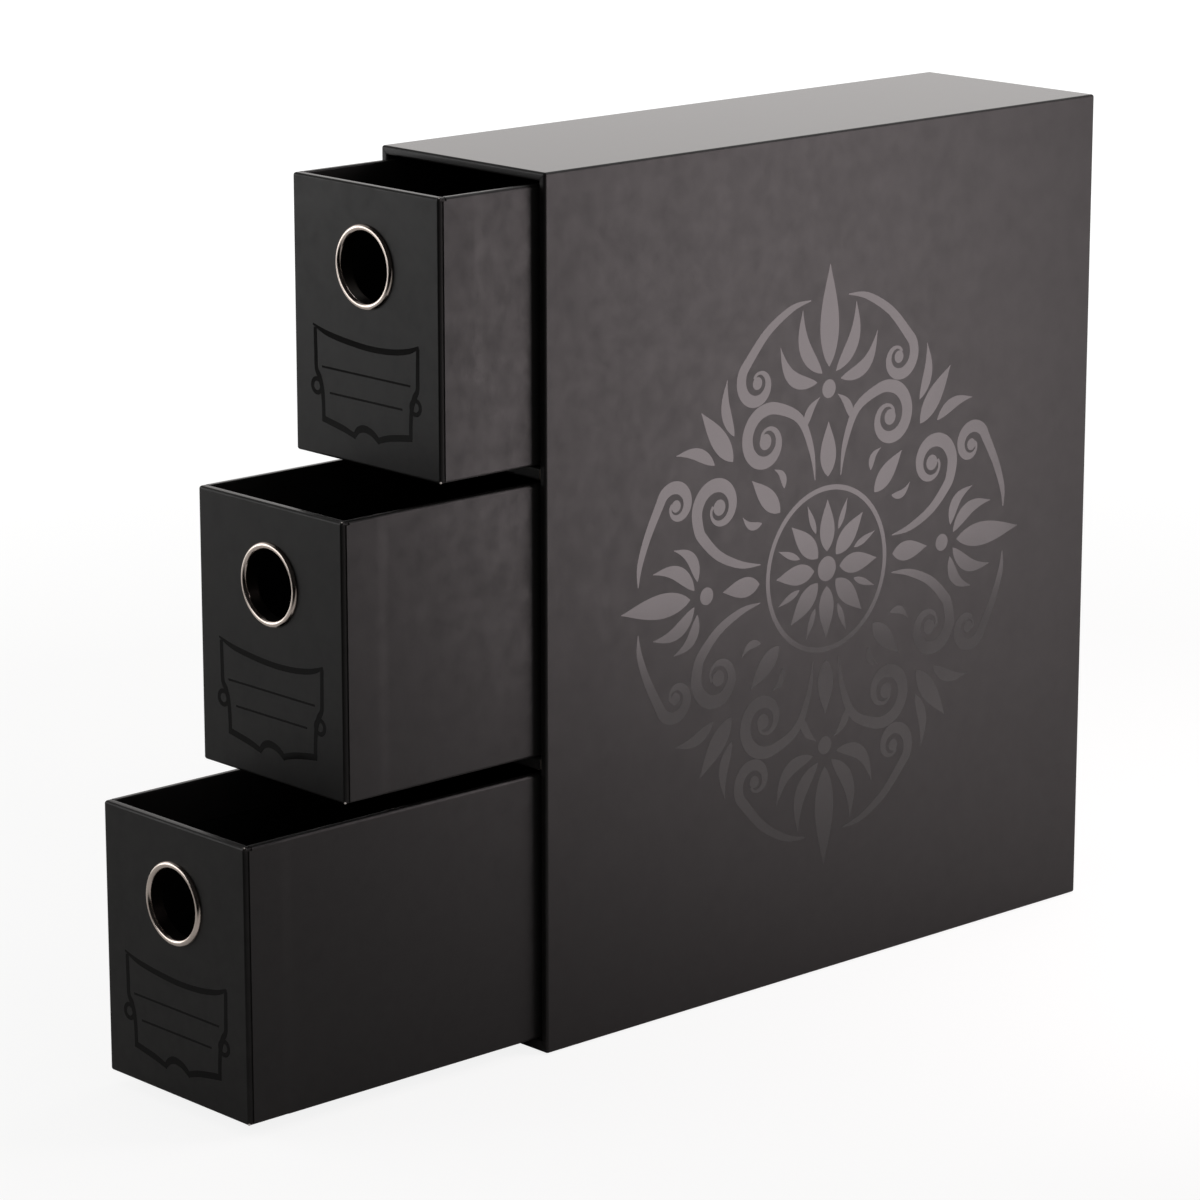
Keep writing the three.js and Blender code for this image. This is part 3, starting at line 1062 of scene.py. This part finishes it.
# Leaves from a point to a point, with their width, and their bow as a share of their length
quarter_leaves = [
    ((3.5, 72.0), (13.5, 96.0), 6.0, -0.16), ((6.0, 69.0), (24.5, 84.0), 5.4, -0.22),
    ((12.0, 53.0), (4.5, 63.5), 3.6, -0.12), ((24.0, 24.5), (38.0, 38.0), 7.2, 0.0),
    ((22.0, 33.0), (27.0, 40.5), 3.0, 0.20), ((33.0, 22.0), (42.5, 25.5), 3.0, -0.20),
    ((47.5, 46.5), (63.0, 66.0), 7.6, 0.0), ((47.0, 55.5), (50.5, 76.0), 4.6, -0.12),
    ((56.5, 46.5), (75.0, 52.5), 4.6, 0.12), ((66.0, 3.0), (86.0, 12.0), 5.4, 0.16),
    ((64.5, 6.0), (76.0, 19.0), 4.6, 0.20),
]
upright_leaves = [((0, 34.0), (0, 54.0), 8.0, 0.0), ((0, 74.0), (0, 111.0), 9.5, 0.0)]
sideways_leaves = [((34.0, 0), (52.0, 0), 7.4, 0.0), ((68.0, 0), (101.0, 0), 9.0, 0.0)]

# Scrolls: stem, then the volute's centre, radius, first angle in degrees, turns and greatest width
quarter_scrolls = [
    ([(6.5, 33.5), (8.5, 45.0), (14.5, 57.0), (26.0, 62.5)], (31.0, 51.5), 11.0, 78, -1.15, 5.2),
    ([(33.5, 7.0), (43.0, 8.5), (54.0, 13.5), (62.0, 21.0)], (54.5, 30.5), 11.0, -28, 1.15, 5.2),
    ([(9.5, 99.0), (19.0, 97.3), (31.0, 90.5)], (35.5, 73.0), 9.2, 58, -1.05, 4.6),
    ([(93.0, 8.5), (92.3, 16.0), (88.5, 26.0)], (75.0, 34.5), 8.2, 10, 1.05, 4.6),
]

# Beads, as a centre and a radius
quarter_beads = [((31.6, 51.2), 2.9), ((54.0, 31.0), 2.9), ((35.8, 72.8), 2.3), ((75.0, 34.7), 2.2)]
upright_beads = [((0, 66.0), 3.4)]
sideways_beads = [((60.0, 0), 3.2)]

# The rosette: a bead, petals and darts between two radii, and a ring with its radius and width
rosette_bead = 4.6
rosette_petals = 8
petal_reach = (6.5, 25.5)
petal_width = 7.5
dart_reach = (15.0, 26.5)
dart_width = 2.6
rosette_ring = (29.8, 1.9)
rosette_ring_steps = 120


def leaf(start, end, width, bow, steps=16):
    """A pointed leaf, widest nearer its foot."""
    run, rise = end[0] - start[0], end[1] - start[1]
    curve = []
    for i in range(steps + 1):
        t = i / steps
        out = bow * sin(pi * t)
        broad = max(leaf_tip, width * sin(pi * t ** leaf_lean))
        curve.append((start[0] + run * t - rise * out, start[1] + rise * t + run * out, broad))
    return curve


def bead(centre, radius, steps=16):
    """A round dot."""
    angles = [pi * i / steps for i in range(steps + 1)]
    return [
        (centre[0] - radius * cos(a), centre[1], max(bead_tip, 2 * radius * sin(a))) for a in angles
    ]


def scroll(stem, centre, radius, first, turns, width):
    """A stem that swells and then rolls up into a volute."""
    points = list(stem)
    steps = int(abs(turns) * volute_steps)
    for i in range(steps + 1):
        share = i / steps
        angle = radians(first) + 2 * pi * turns * share
        reach = radius * (1 - volute_close_share * share)
        points.append((centre[0] + reach * cos(angle), centre[1] + reach * sin(angle)))
    curve = []
    for i, (u, v) in enumerate(points):
        share = min(1, i / (len(points) - 1) / scroll_swell_share)
        swell = scroll_tip + (width - scroll_tip) * sin(pi * share ** scroll_lean)
        curve.append((u, v, swell if i else scroll_foot))
    return through(curve, scroll_smoothing)


def mirrored(strokes, across, above):
    """The strokes themselves, and their reflections across, above or both."""
    signs = [(a, b) for a in ((1, -1) if across else (1,)) for b in ((1, -1) if above else (1,))]
    return [[(a * u, b * v, width) for u, v, width in stroke] for stroke in strokes for a, b in signs]


def rosette_strokes():
    """The bead in the middle, with a petal and a dart in turn about it."""
    strokes = [bead((0, 0), rosette_bead)]
    for i in range(rosette_petals):
        a = 2 * pi * i / rosette_petals
        b = a + pi / rosette_petals
        petal = [(r * cos(a), r * sin(a)) for r in petal_reach]
        dart = [(r * cos(b), r * sin(b)) for r in dart_reach]
        strokes += [leaf(*petal, petal_width, 0), leaf(*dart, dart_width, 0)]
    return strokes


def ornament_strokes():
    """Every stroke of the medallion, from the middle outwards."""
    upright = [leaf(*sizes) for sizes in upright_leaves] + [bead(*sizes) for sizes in upright_beads]
    sideways = [leaf(*sizes) for sizes in sideways_leaves] + [bead(*sizes) for sizes in sideways_beads]
    quarter = [leaf(*sizes) for sizes in quarter_leaves]
    quarter += [scroll(*sizes) for sizes in quarter_scrolls]
    quarter += [bead(*sizes) for sizes in quarter_beads]
    return (rosette_strokes() + mirrored(upright, False, True) + mirrored(sideways, True, False)
            + mirrored(quarter, True, True))


def build_ornament():
    """The medallion, with each stroke a little thicker than the last where they cross."""
    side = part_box("case_wrap")[1].x - print_room

    def place(u, v, out):
        return Vector((side + out, (ornament_centre[0] + u) * mm, (ornament_centre[1] + v) * mm))

    bands = []
    for i, stroke in enumerate(ornament_strokes()):
        thickness = varnish_thickness * (1 + stroke_layer_share * i)
        bands.append((band_rings(stroke, place, thickness), False))
    ring = ring_curve((0, 0), *rosette_ring, steps=rosette_ring_steps)
    bands.append((band_rings(ring, place, varnish_thickness, True), True))
    return joined("side_ornament", bands)


ornament = build_ornament()
dress(ornament, varnish_over_paper("ornament_varnish", ornament_specular, ornament_roughness))
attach(ornament, "case")


# Boards
# Solid recycled greyboard stiffens every wall, shelf and front. Each board is cut to its size and
# glued all over inside its covers.

board_colour = (0.30, 0.27, 0.23)
board_roughness = 0.9
fleck_scale = 700
fleck_detail = 4
fleck_shades = (0.7, 1.2)


def flecked_board():
    """Grey pulp board, speckled by the old paper in it."""
    material, tree, surface = new_material("greyboard", Roughness=board_roughness)
    shade = spread(tree, noise(tree, fleck_scale, fleck_detail), *fleck_shades)
    tint = add(tree, "ShaderNodeVectorMath", {0: board_colour, "Scale": shade},
               operation="SCALE").outputs[0]
    tree.links.new(tint, surface.inputs["Base Color"])
    return material


greyboard = flecked_board()
for name, board in nodes.items():
    if name.endswith("_board"):
        dress(board, greyboard)
